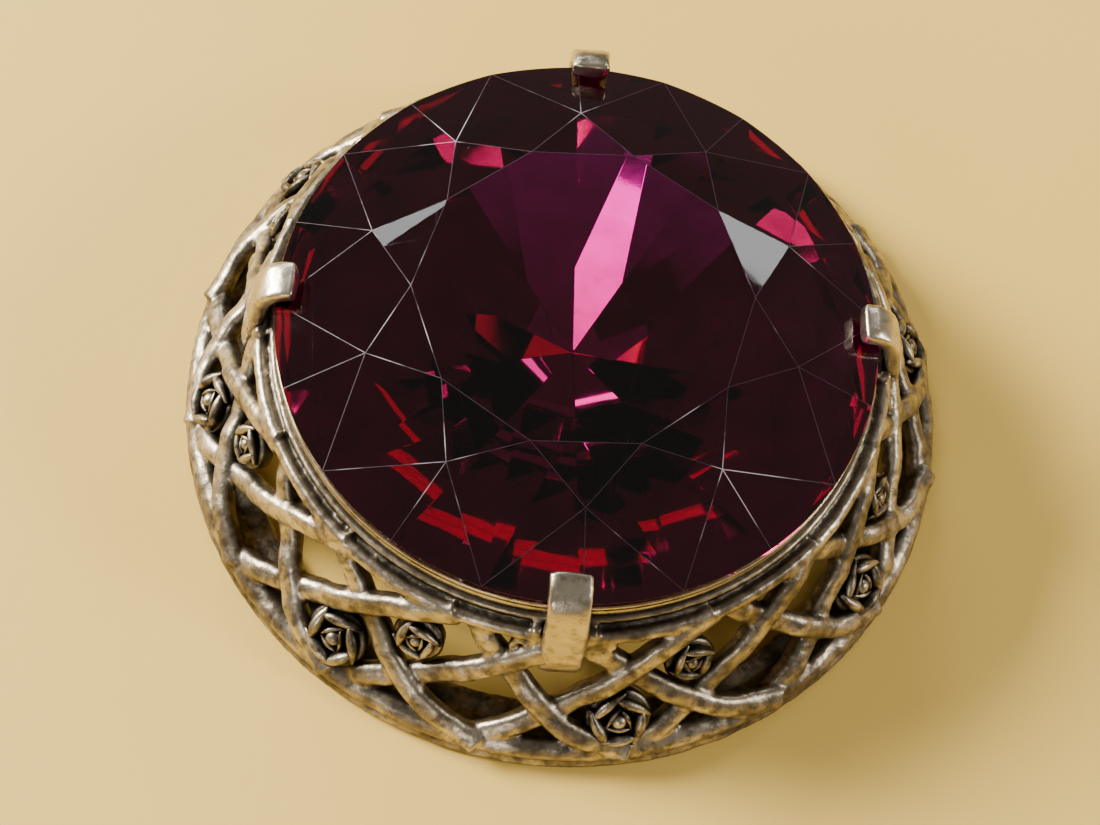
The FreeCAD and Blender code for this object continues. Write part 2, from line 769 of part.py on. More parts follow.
def check_document():
    for item in doc.Objects:
        if "Invalid" in item.State or "Error" in item.State:
            raise ValueError(f"{item.Label} failed: {item.State}")


def write_parts(bodies):
    os.makedirs("parts", exist_ok=True)
    for body in bodies:
        shape = body.Shape
        if shape.isNull() or not shape.isValid():
            raise ValueError(f"{body.Label} has no valid shape")
        shape.exportStep(f"parts/{body.Label}.step")
        print(f"{body.Label}: {len(shape.Solids)} solid, {shape.Volume:.2f} mm3")


bodies = [make_frame(), make_seat(), make_stone()]
bodies += [make_claw(label, angle) for label, angle in CLAW_ANGLES.items()]
bodies += [make_bar(), make_rivet(), make_pin(), make_catch(), make_lock()]
doc.recompute()
check_document()
write_parts(bodies)
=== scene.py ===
import math

import bmesh
import bpy
from mathutils import Matrix, Vector, noise


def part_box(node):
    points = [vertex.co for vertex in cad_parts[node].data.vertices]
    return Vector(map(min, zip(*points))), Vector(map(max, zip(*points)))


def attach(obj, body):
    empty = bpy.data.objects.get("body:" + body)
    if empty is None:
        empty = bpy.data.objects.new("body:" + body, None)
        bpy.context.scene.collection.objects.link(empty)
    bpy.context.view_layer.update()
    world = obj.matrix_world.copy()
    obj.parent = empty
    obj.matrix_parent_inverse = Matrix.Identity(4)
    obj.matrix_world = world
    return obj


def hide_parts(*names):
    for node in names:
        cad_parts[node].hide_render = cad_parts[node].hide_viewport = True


# The brooch, lying stone up on a sheet of pale paper. Shapes are worked out in millimetres, in the
# frame of the CAD model: +Z out of the stone, +X to the right claw, -Y to the front claw.

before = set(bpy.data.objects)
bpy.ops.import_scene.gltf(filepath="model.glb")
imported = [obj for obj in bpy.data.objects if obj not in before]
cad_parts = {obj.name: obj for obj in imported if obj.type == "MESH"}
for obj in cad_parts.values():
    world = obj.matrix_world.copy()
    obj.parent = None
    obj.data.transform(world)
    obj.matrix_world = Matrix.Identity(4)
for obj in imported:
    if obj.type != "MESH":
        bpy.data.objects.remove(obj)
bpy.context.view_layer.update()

MM = 0.001
TURN = 360.0


def extent(node, corner, axis):
    """One side of a CAD node's box, in millimetres."""
    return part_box(node)[corner][axis] / MM


RIM_RADIUS = extent("openwork_frame", 1, 0)
STONE_RADIUS = extent("stone", 1, 0)
TABLE_HEIGHT = extent("stone", 1, 2)
CULET_HEIGHT = extent("stone", 0, 2)
SEAT_RADIUS = extent("stone_seat", 1, 0)
SEAT_FOOT = extent("stone_seat", 0, 2)
SEAT_TOP = extent("stone_seat", 1, 2)
CLAW_FOOT_RADIUS = extent("prong_right", 1, 0)
CLAW_TIP_RADIUS = extent("prong_right", 0, 0)
CLAW_LOW = extent("prong_right", 0, 2)
CLAW_WIDTH = 2 * extent("prong_right", 1, 1)

# Wall of the frame: an arc from foot to top that curves in towards the stone.
WALL_FOOT = Vector((21.2, 1.5))
WALL_TOP = Vector((16.95, 7.7))
WALL_CURVE = 14.0
SHELF_RADIUS = 18.6

CAST_VOXEL = 0.13

SEAT_WIDTH = 1.15
FACET_BEVEL = 0.02
WORN_EDGE_AREA = 0.6  # bevels on the stone are smaller than this, and its facets larger
EASED_EDGE = 0.06
FLOOR_REACH = 900.0
FLOOR_DROP = 0.02
LIGHT_DISTANCE = 0.6  # metres

# Openwork: (angle at the foot, angle gained on the way up) of the two strands of each family.
REPEATS = 8
RISING = ((-11.0, 34.5), (12.0, 34.5))
FALLING = ((5.5, -22.0), (29.0, -28.0))
STRAND_WIDTH = 1.3
STRAND_LIFT = 0.3
LOW_ROSE = {"angle": 9.5, "place": 0.24, "radius": 1.85, "petals": 5}
HIGH_ROSE = {"angle": 21.5, "place": 0.62, "radius": 1.42, "petals": 4}

CLAWS = {"prong_right": 0.0, "prong_back": 90.0, "prong_left": 180.0, "prong_front": 270.0}

# Stone cut: the same ten-fold brilliant as the CAD stone.
FACETS = 10
FACET_TURN = 2.5
GIRDLE_LOW = 9.45
GIRDLE_HIGH = 10.05
TABLE_RADIUS = 8.9
STAR_LENGTH = 0.42
LOWER_FACET_END = 0.28


# --- mesh helpers ---------------------------------------------------------------------------


def new_object(name, mesh, materials=()):
    """An object in the scene, with its materials."""
    piece = bpy.data.objects.new(name, mesh)
    bpy.context.scene.collection.objects.link(piece)
    for material in materials:
        mesh.materials.append(material)
    return piece


def mesh_of(name, points, faces, smooth=True):
    mesh = bpy.data.meshes.new(name)
    mesh.from_pydata([tuple(p) for p in points], [], faces)
    mesh.update()
    if smooth:
        mesh.shade_smooth()
    else:
        mesh.shade_flat()
    return mesh


def polar(angle, radius, height=0.0):
    turn = math.radians(angle)
    return Vector((radius * math.cos(turn), radius * math.sin(turn), height))


def strip_faces(rows, columns, closed_rows):
    """Quads over a grid of rows by columns, whose columns run round a loop."""
    faces = []
    for row in range(rows if closed_rows else rows - 1):
        below = row * columns
        above = (row + 1) % rows * columns
        for column in range(columns):
            beside = (column + 1) % columns
            faces.append((below + column, below + beside, above + beside, above + column))
    return faces


def sweep(stations, section, closed=False):
    """(points, faces) of a section carried along stations of (centre, side, out, scale)."""
    points = []
    for centre, side, out, scale in stations:
        for across, away in section:
            points.append(centre + side * (across * scale) + out * (away * scale))
    count = len(section)
    faces = strip_faces(len(stations), count, closed)
    if not closed:
        last = (len(stations) - 1) * count
        faces.append(tuple(reversed(range(count))))
        faces.append(tuple(range(last, last + count)))
    return points, faces


def lathe(outline, steps, wobble=None):
    """(points, faces) of a closed (radius, height) outline turned about Z."""
    points = []
    for step in range(steps):
        angle = TURN * step / steps
        for radius, height in outline:
            spot = polar(angle, radius, height)
            points.append(spot + wobble(spot) if wobble else spot)
    return points, strip_faces(steps, len(outline), True)


def join(parts):
    """One (points, faces) from several."""
    points, faces = [], []
    for part_points, part_faces in parts:
        start = len(points)
        points += part_points
        faces += [tuple(start + corner for corner in face) for face in part_faces]
    return points, faces


def rounded_section(width, height, depth, power=2.6, count=16):
    """A rounded strand section: half its width each side, its height outwards and depth inwards."""
    section = []
    for step in range(count):
        turn = math.tau * step / count
        across, away = math.cos(turn), math.sin(turn)
        across = math.copysign(abs(across) ** (2 / power), across)
        away = math.copysign(abs(away) ** (2 / power), away)
        section.append((across * width / 2, away * (height if away > 0 else depth)))
    return section


def push_out(mesh, amount):
    """Moves every point along its normal by amount(point)."""
    normals = [normal.vector.copy() for normal in mesh.vertex_normals]
    spots = [vertex.co.copy() for vertex in mesh.vertices]
    moved = [spot + normal * amount(spot) for spot, normal in zip(spots, normals)]
    mesh.vertices.foreach_set("co", [value for spot in moved for value in spot])
    mesh.update()


def cast_unevenness(spot):
    return 0.035 * noise.noise(spot * 1.3) + 0.018 * noise.noise(spot * 3.1)


def claw_unevenness(spot):
    return 0.05 * noise.noise(spot * 0.9) + 0.03 * noise.noise(spot * 2.6)


def in_metres(mesh):
    mesh.transform(Matrix.Scale(MM, 4))
    mesh.update()
    return mesh


# --- openwork frame -------------------------------------------------------------------------


def wall_point(place):
    """(radius, height) on the wall's outer curve, place 0 at its foot and 1 at its top."""
    along = WALL_TOP - WALL_FOOT
    left = Vector((-along.y, along.x)).normalized()
    middle = (WALL_FOOT + WALL_TOP) / 2
    centre = middle - left * math.sqrt(WALL_CURVE**2 - (along.length / 2) ** 2)
    first, last = WALL_FOOT - centre, WALL_TOP - centre
    turn = first.angle_signed(last)
    return centre + Matrix.Rotation(-turn * place, 2) @ first


def wall_spot(angle, place, rise=0.0):
    """A point on the wall, or rise millimetres out from it, and the direction out of the wall."""
    here = wall_point(place)
    slope = (wall_point(place + 0.01) - wall_point(place - 0.01)).normalized()
    out = polar(angle, slope.y, -slope.x)
    return polar(angle, here.x, here.y) + out * rise, out


def ease(value):
    """0 below 0, 1 above 1, and smooth between."""
    value = min(1.0, max(0.0, value))
    return value * value * (3 - 2 * value)


def strand_angle(foot, lean, place):
    """The angle of a strand at a place: it sweeps forward where it runs into the collar or rim."""
    sweep_top = 5.0 * ease((place - 0.78) / 0.3) if lean > 0 else 0.0
    sweep_foot = 5.0 * ease((0.2 - place) / 0.3) if lean < 0 else 0.0
    return foot + lean * place + sweep_top + sweep_foot


def crossing_lift(place, rising):
    """Falling strands pass over near the foot of the wall and rising ones over near its top."""
    upper = ease((place - 0.4) / 0.14)
    settled = ease((place - 0.84) / 0.12) + ease((0.12 - place) / 0.12)
    return STRAND_LIFT * (upper if rising else 1 - upper) - 0.12 - 0.32 * settled


def strand(foot, lean, number):
    """(points, faces) of one strand from rim to collar."""
    steps = 44
    stations = []
    for step in range(steps + 1):
        place = -0.04 + 1.02 * step / steps
        seed = Vector((number * 3.7, place * 5.0, lean * 0.1))
        drift = 0.5 * noise.noise(seed)
        angle = strand_angle(foot, lean, place) + drift
        ahead = strand_angle(foot, lean, place + 0.01) + drift
        rise = crossing_lift(place, lean > 0) + 0.06 * noise.noise(seed * 2 + Vector((9, 0, 0)))
        centre, out = wall_spot(angle, place, rise)
        beyond, _ = wall_spot(ahead, place + 0.01, rise)
        side = (beyond - centre).normalized().cross(out)
        scale = 1.0 + 0.1 * noise.noise(seed * 1.5 + Vector((0, 7, 0)))
        flare = 0.1 * (ease((0.08 - place) / 0.14) + ease((place - 0.9) / 0.14))
        stations.append((centre, side, out, scale + flare))
    return sweep(stations, rounded_section(STRAND_WIDTH, 0.48, 0.7))


def strands():
    parts = []
    for repeat in range(REPEATS):
        start = repeat * TURN / REPEATS
        for number, (foot, lean) in enumerate(RISING + FALLING):
            parts.append(strand(start + foot, lean, repeat * 4 + number))
    return parts


def hammered(spot):
    """How far a point of the rim is pushed in or out by the hammering."""
    if spot.z < 0.05:
        return Vector()
    out = Vector((spot.x, spot.y, 0)).normalized()
    dents = 0.09 * noise.noise(spot * 0.55) + 0.05 * noise.noise(spot * 1.4)
    return out * (min(dents, 0.0) - 0.01) + Vector((0, 0, dents * 0.8))


def rim():
    edge = RIM_RADIUS
    outline = [
        (SHELF_RADIUS, 0.0),
        (edge - 0.25, 0.0),
        (edge - 0.05, 0.12),
        (edge, 0.3),
        (edge - 0.08, 0.5),
        (edge - 0.3, 0.62),
        (edge - 0.27, 0.78),
        (edge - 0.16, 0.98),
        (edge - 0.26, 1.3),
        (edge - 0.55, 1.6),
        (edge - 0.95, 1.74),
        (edge - 1.35, 1.62),
        (edge - 1.7, 1.3),
        (edge - 2.0, 1.05),
        (SHELF_RADIUS + 0.15, 1.0),
        (SHELF_RADIUS, 0.85),
    ]
    return lathe(outline, 720, hammered)


def ring_path(radius, height, size, wave, seed):
    """A thin closed ring that wanders a little up and down."""
    steps = 360
    stations = []
    for step in range(steps):
        angle = TURN * step / steps
        turn = polar(angle, 2.2)
        lift = wave * noise.noise(turn + Vector((seed, 0, 0)))
        out = polar(angle, math.cos(math.radians(40)), math.sin(math.radians(40)))
        side = polar(angle, -math.sin(math.radians(40)), math.cos(math.radians(40)))
        centre = polar(angle, radius - 0.4 * lift, height + lift)
        swell = 1 + 1.2 * noise.noise(turn * 3 + Vector((0, seed, 0))) * wave
        stations.append((centre, side, out, swell))
    return sweep(stations, rounded_section(size, size * 0.5, size * 0.6), closed=True)


def collar():
    """Backing band, lower ring, and the thin upper lip, with a groove between the two."""
    backing = [
        (15.5, 6.9),
        (16.45, 6.95),
        (16.75, 7.4),
        (16.55, 7.8),
        (16.15, 7.9),
        (16.1, 8.15),
        (15.5, 8.15),
    ]
    lower = ring_path(16.9, 7.55, 0.8, 0.12, 3)
    upper = ring_path(16.2, 8.22, 0.4, 0.05, 11)
    return [lathe(backing, 360), lower, upper]


def claw_cheeks():
    """The short upright ridges each side of a claw, where the collar turns down into its notch."""
    parts = []
    for angle in CLAWS.values():
        for hand in (-1, 1):
            stations = []
            for step in range(15):
                down = step / 14
                place = 1.07 - 0.3 * down
                spot, out = wall_spot(angle + hand * (4.7 + 0.5 * down), place, 0.05)
                side = polar(angle, 1).cross(Vector((0, 0, 1)))
                stations.append((spot, side, out, 1 - 0.3 * down))
            parts.append(sweep(stations, rounded_section(0.5, 0.32, 0.5)))
    return parts


def scroll(angle, place, hand):
    """A small curl of wire beside a claw's foot."""
    stations = []
    steps = 34
    for step in range(steps + 1):
        share = step / steps
        turn = hand * (0.4 + 1.45 * math.tau * share)
        reach = 0.62 * (1 - 0.72 * share)
        spot, out = wall_spot(angle, place, 0.1)
        across = Vector((0, 0, 1)).cross(out).normalized()
        up = out.cross(across)
        radial = across * math.cos(turn) + up * math.sin(turn)
        stations.append((spot + radial * reach, radial, out, 1 - 0.35 * share))
    return sweep(stations, rounded_section(0.3, 0.24, 0.6, power=2, count=10))


def scrolls():
    return [
        scroll(angle + hand * 7.0, 0.86, hand) for angle in CLAWS.values() for hand in (-1, 1)
    ]


def cast_mesh(name, parts, voxel):
    """Melts the parts together as a casting does: remeshed, softened and slightly uneven."""
    points, faces = join(parts)
    source = new_object(f"{name}_source", mesh_of(name, points, faces))
    remesh = source.modifiers.new("melt", "REMESH")
    remesh.mode = "VOXEL"
    remesh.voxel_size = voxel
    remesh.use_smooth_shade = True
    soften = source.modifiers.new("soften", "SMOOTH")
    soften.factor = 0.5
    soften.iterations = 2
    graph = bpy.context.evaluated_depsgraph_get()
    mesh = bpy.data.meshes.new_from_object(source.evaluated_get(graph))
    mesh.name = name
    bpy.data.objects.remove(source)
    push_out(mesh, lambda spot: cast_unevenness(spot) if spot.z > 0.1 else 0.0)
    return in_metres(mesh)


def keep_inside(mesh, radius):
    """Trims the few points that unevenness pushed past the rim's radius or below its foot."""
    kept = []
    for vertex in mesh.vertices:
        x, y, z = vertex.co
        share = min(1.0, radius / max(math.hypot(x, y), 1e-9))
        kept += [x * share, y * share, max(z, 0.0)]
    mesh.vertices.foreach_set("co", kept)
    mesh.update()
    return mesh


def make_frame(material):
    parts = [rim(), *strands(), *collar(), *claw_cheeks(), *scrolls()]
    voxel = CAST_VOXEL
    mesh = keep_inside(cast_mesh("openwork_casting", parts, voxel), RIM_RADIUS * MM)
    piece = new_object("openwork_casting", mesh, [material])
    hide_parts("openwork_frame")
    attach(piece, "brooch")


# --- rose knots -----------------------------------------------------------------------------


def petal(start, span, reach, size, lift):
    """(points, faces) of one curled petal: a tapered crescent that winds in over its neighbour."""
    steps = 18
    stations = []
    for step in range(steps + 1):
        share = step / steps
        turn = start + span * share
        straight = math.cos(span / 2.4) / math.cos(span * (share - 0.5) / 1.2)
        distance = reach * (1.16 - 0.24 * share) * straight
        bulge = math.sin(math.pi * (0.06 + 0.88 * share)) ** 0.6
        radial = Vector((math.cos(turn), math.sin(turn), 0))
        height = lift + 0.14 * share + 0.1 * bulge
        centre = radial * distance + Vector((0, 0, height))
        out = (Vector((0, 0, 1)) + radial * 0.35).normalized()
        side = (radial - out * radial.dot(out)).normalized()
        stations.append((centre, side, out, 0.3 + 0.7 * bulge))
    return sweep(stations, rounded_section(size, size * 0.62, size * 0.9, power=2.2, count=12))


def bead(reach, height, sides=20, rings=9):
    """(points, faces) of a bead, round above and carried down into the bowl."""
    points, faces = [], []
    for ring in range(rings):
        lean = math.pi / 2 * ring / (rings - 1)
        away, up = reach * math.cos(lean) + 0.001, height + reach * 0.9 * math.sin(lean)
        points += [polar(TURN * side / sides, away, up) for side in range(sides)]
    base = [polar(TURN * side / sides, reach, -0.2) for side in range(sides)]
    points = base + points
    faces = strip_faces(rings + 1, sides, False)
    faces.append(tuple(reversed(range(sides))))
    faces.append(tuple(range(rings * sides, (rings + 1) * sides)))
    return points, faces


def bowl(reach):
    """(points, faces) of the shallow dark dish under the petals."""
    outline = [
        (0.01, -0.75),
        (reach * 0.9, -0.7),
        (reach * 0.98, -0.1),
        (reach * 0.86, 0.06),
        (reach * 0.5, -0.05),
        (0.01, -0.02),
    ]
    return lathe(outline, 40)


def rose(radius, petals, seed):
    """(points, faces) of one rose knot about the origin, facing +Z."""
    parts = [bowl(radius), bead(0.24 * radius, 0.22)]
    step = math.tau / petals
    for number in range(petals):
        vary = noise.noise(Vector((seed, number * 2.3, 0)))
        start = number * step + 0.14 * vary
        size = radius * (0.36 + 0.05 * vary)
        parts.append(petal(start, step * 1.22, radius * 0.74, size, 0.1 + 0.05 * vary))
    inner = 3
    for number in range(inner):
        start = number * math.tau / inner + 0.6 + seed
        parts.append(petal(start, math.tau / inner * 1.05, radius * 0.4, radius * 0.17, 0.16))
    return join(parts)


def placed_rose(kind, repeat):
    """One rose knot set square to the wall in its place."""
    angle = repeat * TURN / REPEATS + kind["angle"]
    seed = repeat * 1.7 + kind["petals"]
    spot, out = wall_spot(angle, kind["place"], 0.12)
    across = Vector((0, 0, 1)).cross(out).normalized()
    turned = Matrix((across, out.cross(across), out)).transposed()
    spin = Matrix.Rotation(0.5 * noise.noise(Vector((seed, 4, 2))), 3, "Z")
    points, faces = rose(kind["radius"], kind["petals"], seed)
    return [spot + turned @ (spin @ point) for point in points], faces


def make_roses(material):
    """Every rose knot: part of the casting, but kept out of the melting so that it stays crisp."""
    for kind, name in ((LOW_ROSE, "low"), (HIGH_ROSE, "high")):
        for repeat in range(REPEATS):
            points, faces = placed_rose(kind, repeat)
            mesh = in_metres(mesh_of(f"rose_{name}", points, faces))
            piece = new_object(f"rose_{name}_{repeat + 1}", mesh, [material])
            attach(piece, "brooch")


# --- claws ----------------------------------------------------------------------------------


def claw_stations():
    """(centre, side, out, scale) down the middle of a claw at +X, from its foot to its tip."""
    foot, tip = CLAW_FOOT_RADIUS, CLAW_TIP_RADIUS
    spine = [
        ((foot - 0.55, CLAW_LOW + 0.02), 0.0),
        ((foot - 0.55, CLAW_LOW + 0.55), 2.0),
        ((foot - 0.68, CLAW_LOW + 1.3), 12.0),
        ((foot - 0.98, 8.0), 15.0),
        ((foot - 1.28, 9.2), 16.0),
        ((foot - 1.6, 10.15), 24.0),
        ((foot - 2.05, 10.75), 45.0),
        ((foot - 2.6, 11.06), 66.0),
        ((tip + 0.5, 11.16), 76.0),
        ((tip + 0.24, 11.17), 80.0),
    ]
    stations = []
    pieces = len(spine) - 1
    steps = 60
    for step in range(steps + 1):
        along = step / steps * pieces
        index = min(int(along), pieces - 1)
        share = along - index
        nodes = [spine[min(max(index + k, 0), pieces)] for k in (-1, 0, 1, 2)]
        radius, height = (catmull([n[0][k] for n in nodes], share) for k in (0, 1))
        lean = math.radians(catmull([n[1] for n in nodes], share))
        out = Vector((math.cos(lean), 0, math.sin(lean)))
        stations.append((Vector((radius, 0, height)), Vector((0, 1, 0)), out, step / steps))
    return stations


def catmull(values, share):
    """A smooth value between the middle two of four."""
    before, start, end, after = values
    curve = 2 * before - 5 * start + 4 * end - after
    return 0.5 * (
        2 * start
        + (end - before) * share
        + curve * share**2
        + (3 * start - before - 3 * end + after) * share**3
    )


def claw_mesh(name, angle, seed):
    """One claw, made at +X and turned to its angle."""
    section = rounded_section(CLAW_WIDTH, 0.5, 0.52, power=4.2, count=40)
    points = []
    stations = claw_stations()
    for centre, side, out, along in stations:
        tip = 1 - 0.1 * along
        if along > 0.92:
            tip *= math.sqrt(max(0.05, 1 - ((along - 0.92) / 0.088) ** 2))
        if along < 0.04:
            tip *= 0.86 + 0.14 * math.sqrt(along / 0.04)
        for across, away in section:
            thick = away * (1.05 - 0.18 * along) * (0.55 + 0.45 * tip)
            points.append(centre + side * across * tip + out * thick)
    count = len(section)
    faces = strip_faces(len(stations), count, False)
    last = (len(stations) - 1) * count
    faces += [tuple(reversed(range(count))), tuple(range(last, last + count))]
    mesh = mesh_of(name, points, faces)
    shift = Vector((seed * 5.0, 0, 0))
    push_out(mesh, lambda spot: claw_unevenness(spot + shift))
    mesh.transform(Matrix.Rotation(math.radians(angle), 4, "Z"))
    return in_metres(mesh)


def make_claws(material):
    for seed, (node, angle) in enumerate(CLAWS.items()):
        piece = new_object(f"claw_{node[6:]}", claw_mesh(node, angle, seed), [material])
        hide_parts(node)
        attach(piece, "brooch")


# --- stone and seat -------------------------------------------------------------------------


def facet_planes():
    """(point, outward normal) of every facet except the table, in millimetres."""
    step = TURN / FACETS
    half, quarter = math.cos(math.radians(step / 2)), math.cos(math.radians(step / 4))
    bezel = ((TABLE_RADIUS, TABLE_HEIGHT), (STONE_RADIUS, GIRDLE_HIGH))
    side = TABLE_RADIUS * half
    star_end = side + STAR_LENGTH * (STONE_RADIUS - side)
    bezel_slope = (TABLE_HEIGHT - GIRDLE_HIGH) / (STONE_RADIUS - TABLE_RADIUS)
    star_height = GIRDLE_HIGH + (STONE_RADIUS - star_end * half) * bezel_slope
    star = ((side, TABLE_HEIGHT), (star_end, star_height))
    upper = ((star_end * quarter, star_height), (STONE_RADIUS * quarter, GIRDLE_HIGH))
    main = ((0.0, CULET_HEIGHT), (STONE_RADIUS, GIRDLE_LOW))
    valley = LOWER_FACET_END * STONE_RADIUS
    main_slope = (GIRDLE_LOW - CULET_HEIGHT) / STONE_RADIUS
    valley_height = CULET_HEIGHT + valley * half * main_slope
    lower = ((valley * quarter, valley_height), (STONE_RADIUS * quarter, GIRDLE_LOW))
    tiers = (
        (bezel, 0, 1),
        (star, step / 2, 1),
        (upper, -step / 4, 1),
        (upper, step / 4, 1),
        (main, 0, -1),
        (lower, -step / 4, -1),
        (lower, step / 4, -1),
    )
    planes = []
    for (near, far), turn, up in tiers:
        run, rise = far[0] - near[0], far[1] - near[1]
        for number in range(FACETS):
            angle = FACET_TURN + turn + number * step
            normal = polar(angle, -rise * up, run * up).normalized()
            planes.append((polar(angle, *near), normal))
    return planes


def stone_mesh():
    """A cylinder cut by every facet plane, closed as a convex hull, with bevelled edges."""
    work = bmesh.new()
    depth = TABLE_HEIGHT - CULET_HEIGHT
    middle = Matrix.Translation((0, 0, (TABLE_HEIGHT + CULET_HEIGHT) / 2))
    bmesh.ops.create_cone(
        work,
        cap_ends=True,
        segments=240,
        radius1=STONE_RADIUS,
        radius2=STONE_RADIUS,
        depth=depth,
        matrix=middle,
    )
    for point, normal in facet_planes():
        everything = work.verts[:] + work.edges[:] + work.faces[:]
        bmesh.ops.bisect_plane(
            work, geom=everything, plane_co=point, plane_no=normal, clear_outer=True, dist=1e-4
        )
        bmesh.ops.remove_doubles(work, verts=work.verts[:], dist=1e-3)
        open_edges = [edge for edge in work.edges if edge.is_boundary]
        bmesh.ops.holes_fill(work, edges=open_edges, sides=0)
    hull = bmesh.ops.convex_hull(work, input=work.verts[:])
    inside = [item for item in hull["geom_interior"] if isinstance(item, bmesh.types.BMVert)]
    bmesh.ops.delete(work, geom=inside, context="VERTS")
    old = [face for face in work.faces if face not in set(hull["geom"])]
    bmesh.ops.delete(work, geom=old, context="FACES_ONLY")
    bmesh.ops.dissolve_limit(
        work, angle_limit=math.radians(0.4), verts=work.verts[:], edges=work.edges[:]
    )
    bmesh.ops.recalc_face_normals(work, faces=work.faces[:])
    joined = [edge for edge in work.edges if len(edge.link_faces) == 2]
    sharp = [edge for edge in joined if edge.calc_face_angle() > math.radians(2)]
    bmesh.ops.bevel(work, geom=sharp, offset=FACET_BEVEL, segments=1, affect="EDGES", profile=0.5)
    bmesh.ops.recalc_face_normals(work, faces=work.faces[:])
    mesh = bpy.data.meshes.new("faceted_stone")
    work.to_mesh(mesh)
    work.free()
    mesh.shade_flat()
    return in_metres(mesh)


def make_stone(glass, foil, worn_edge):
    """The stone: clear glass above, worn along its edges, and bright foil on the facets below."""
    piece = new_object("faceted_stone", stone_mesh(), [glass, foil, worn_edge])
    for face in piece.data.polygons:
        below = face.center.z < GIRDLE_LOW * MM and face.normal.z < -0.2
        edge = face.area < WORN_EDGE_AREA * MM**2 and face.center.z > (GIRDLE_HIGH + 0.1) * MM
        face.material_index = 1 if below else 2 if edge else 0
    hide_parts("stone")
    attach(piece, "brooch")


def make_seat(material):
    inner = SEAT_RADIUS - SEAT_WIDTH
    outline = [
        (inner, SEAT_FOOT + 0.02),
        (SEAT_RADIUS - 0.06, SEAT_FOOT),
        (SEAT_RADIUS, SEAT_FOOT + 0.06),
        (SEAT_RADIUS, SEAT_TOP - 0.62),
        (SEAT_RADIUS - 0.05, SEAT_TOP - 0.56),
        (SEAT_RADIUS - 0.05, SEAT_TOP - 0.5),
        (SEAT_RADIUS, SEAT_TOP - 0.44),
        (SEAT_RADIUS, SEAT_TOP - 0.06),
        (SEAT_RADIUS - 0.05, SEAT_TOP),
        (inner, SEAT_TOP - 0.59),
    ]
    mesh = in_metres(mesh_of("seat", *lathe(outline, 360)))
    piece = new_object("polished_seat", mesh, [material])
    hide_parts("stone_seat")
    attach(piece, "brooch")


# --- materials ------------------------------------------------------------------------------


class Nodes:
    """A new material and short ways to add nodes to it."""

    def __init__(self, name):
        self.material = bpy.data.materials.new(name)
        self.material.use_nodes = True
        self.tree = self.material.node_tree
        self.tree.nodes.clear()
        self.shader = self.add("ShaderNodeBsdfPrincipled")
        output = self.add("ShaderNodeOutputMaterial")
        self.link(self.shader.outputs["BSDF"], output.inputs["Surface"])
        self.output = output
        self.place = self.add("ShaderNodeTexCoord").outputs["Object"]

    def add(self, kind, **settings):
        node = self.tree.nodes.new(kind)
        for name, value in settings.items():
            setattr(node, name, value)
        return node

    def link(self, start, end):
        self.tree.links.new(start, end)

    def noise(self, scale, detail=4.0, rough=0.55):
        node = self.add("ShaderNodeTexNoise")
        node.inputs["Scale"].default_value = scale
        node.inputs["Detail"].default_value = detail
        node.inputs["Roughness"].default_value = rough
        self.link(self.place, node.inputs["Vector"])
        return node.outputs["Fac"]

    def ramp(self, value, stops):
        node = self.add("ShaderNodeValToRGB")
        ramp = node.color_ramp
        while len(ramp.elements) < len(stops):
            ramp.elements.new(0.5)
        for element, (position, colour) in zip(ramp.elements, stops):
            element.position = position
            element.color = (*colour, 1) if isinstance(colour, tuple) else (colour,) * 3 + (1,)
        self.link(value, node.inputs["Fac"])
        return node.outputs["Color"]

    def math(self, operation, first, second, clamp=False):
        node = self.add("ShaderNodeMath", operation=operation, use_clamp=clamp)
        for socket, value in zip(node.inputs, (first, second)):
            if isinstance(value, (int, float)):
                socket.default_value = value
            else:
                self.link(value, socket)
        return node.outputs[0]

    def mix(self, share, first, second):
        """Colour between first and second."""
        node = self.add("ShaderNodeMix", data_type="RGBA")
        sockets = [node.inputs[0], node.inputs[6], node.inputs[7]]
        for socket, value in zip(sockets, (share, first, second)):
            if isinstance(value, tuple):
                socket.default_value = (*value, 1)
            elif isinstance(value, (int, float)):
                socket.default_value = value
            else:
                self.link(value, socket)
        return node.outputs[2]

    def bump(self, height, strength, distance):
        node = self.add("ShaderNodeBump")
        node.inputs["Strength"].default_value = strength
        node.inputs["Distance"].default_value = distance
        self.link(height, node.inputs["Height"])
        self.link(node.outputs["Normal"], self.shader.inputs["Normal"])

    def cavity(self, reach):
        """White where the surface is open and dark in its recesses."""
        node = self.add("ShaderNodeAmbientOcclusion", samples=6)
        node.inputs["Distance"].default_value = reach
        return node.outputs["AO"]

    def edges(self):
        return self.add("ShaderNodeNewGeometry").outputs["Pointiness"]


